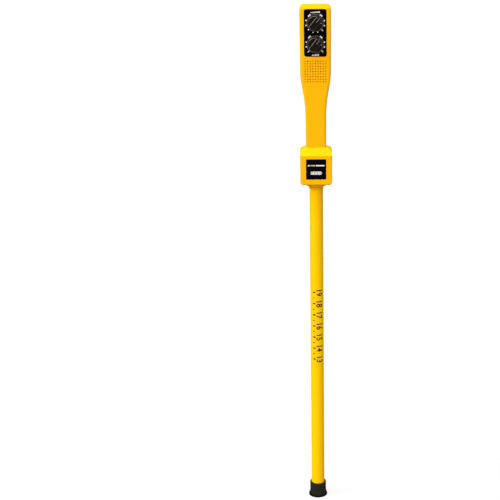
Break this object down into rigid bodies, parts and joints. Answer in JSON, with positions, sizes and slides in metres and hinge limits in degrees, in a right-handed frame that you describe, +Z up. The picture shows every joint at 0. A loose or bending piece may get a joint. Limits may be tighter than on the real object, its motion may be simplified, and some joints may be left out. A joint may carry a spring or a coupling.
{
  "type": "magnetic locator",
  "caption": "Hand-held magnetic locator wand: yellow moulded head with turning knobs and a sounder grille, grip, battery box with lift-off cover, long sensor tube and rubber foot.",
  "frame": {"origin": "centre of the rubber foot's sole, on the sensor tube's axis", "axes": "+Z up along the sensor tube towards the head; -Y is the front, where the knobs, grille and label plate are; +X is to the right seen from the front"},
  "size_m": [0.0656, 0.0763, 1.085],
  "materials": {
    "yellow_plastic": "satin",
    "yellow_tube_paint": "gloss",
    "black_panel": "satin",
    "black_plastic": "satin",
    "pale_inlay": "satin",
    "black_rubber": "matte",
    "brass": "satin",
    "stainless_steel": "satin",
    "board_laminate": "satin",
    "chip_plastic": "matte",
    "capacitor_can": "satin",
    "connector_plastic": "satin",
    "battery_can": "satin",
    "membrane_cloth": "matte",
    "foam": "matte",
    "winding_copper": "satin",
    "core_alloy": "satin",
    "white_plastic": "satin",
    "lead_insulation": "satin"
  },
  "bodies": {
    "housing": {"front_shell": "yellow_plastic", "rear_shell": "yellow_plastic", "shell_gasket": "black_rubber", "shell_screws": "stainless_steel", "box_screws": "stainless_steel", "shell_inserts": "brass", "control_panel": "black_panel", "name_plate": "black_panel", "volume_control": "chip_plastic", "gain_control": "chip_plastic", "control_washers": "brass", "control_nuts": "brass", "control_seals": "black_rubber", "circuit_board": "board_laminate", "board_screws": "brass", "board_chips": "chip_plastic", "board_capacitors": "capacitor_can", "board_connectors": "connector_plastic", "sounder_case": "chip_plastic", "sounder_disc": "brass", "grille_membrane": "membrane_cloth", "left_battery": "battery_can", "right_battery": "battery_can", "left_battery_snap": "black_plastic", "right_battery_snap": "black_plastic", "cover_inserts": "brass", "sensor_tube": "yellow_tube_paint", "tube_pin": "brass", "tube_seal_ring": "black_rubber", "tube_grommet": "black_rubber", "tube_end_plug": "white_plastic", "rubber_foot": "black_rubber", "lower_sensor_bobbin": "white_plastic", "lower_sensor_winding": "winding_copper", "lower_sensor_core": "core_alloy", "upper_sensor_bobbin": "white_plastic", "upper_sensor_winding": "winding_copper", "upper_sensor_core": "core_alloy", "sensor_carrier": "white_plastic", "sensor_spacers": "foam", "sensor_cable": "lead_insulation", "battery_leads": "lead_insulation", "sounder_lead": "lead_insulation", "sensor_link_lead": "lead_insulation"},
    "volume_knob": {"volume_knob": "black_plastic", "volume_pointer": "pale_inlay", "volume_set_screw": "brass", "volume_shaft": "brass"},
    "gain_knob": {"gain_knob": "black_plastic", "gain_pointer": "pale_inlay", "gain_set_screw": "brass", "gain_shaft": "brass"},
    "battery_cover": {"battery_cover": "yellow_plastic", "cover_seal": "black_rubber", "cover_pad": "foam"},
    "upper_cover_screw": {"upper_cover_screw": "stainless_steel"},
    "lower_cover_screw": {"lower_cover_screw": "stainless_steel"}
  },
  "joints": [
    {"name": "volume_turn", "type": "hinge", "parent": "housing", "child": "volume_knob", "pos_m": [0, -0.0178, 1.05185], "axis": [0, 1, 0], "range_deg": [0, 283]},
    {"name": "gain_turn", "type": "hinge", "parent": "housing", "child": "gain_knob", "pos_m": [0, -0.0178, 1.00915], "axis": [0, 1, 0], "range_deg": [0, 283]},
    {"name": "battery_cover_lift", "type": "slide", "parent": "housing", "child": "battery_cover", "axis": [0, 1, 0], "range_m": [0, 0.08]},
    {"name": "upper_cover_screw_turn", "type": "hinge", "parent": "battery_cover", "child": "upper_cover_screw", "pos_m": [0, 0.0395, 0.7803], "axis": [0, 1, 0], "continuous": true},
    {"name": "lower_cover_screw_turn", "type": "hinge", "parent": "battery_cover", "child": "lower_cover_screw", "pos_m": [0, 0.0395, 0.7251], "axis": [0, 1, 0], "continuous": true}
  ]
}
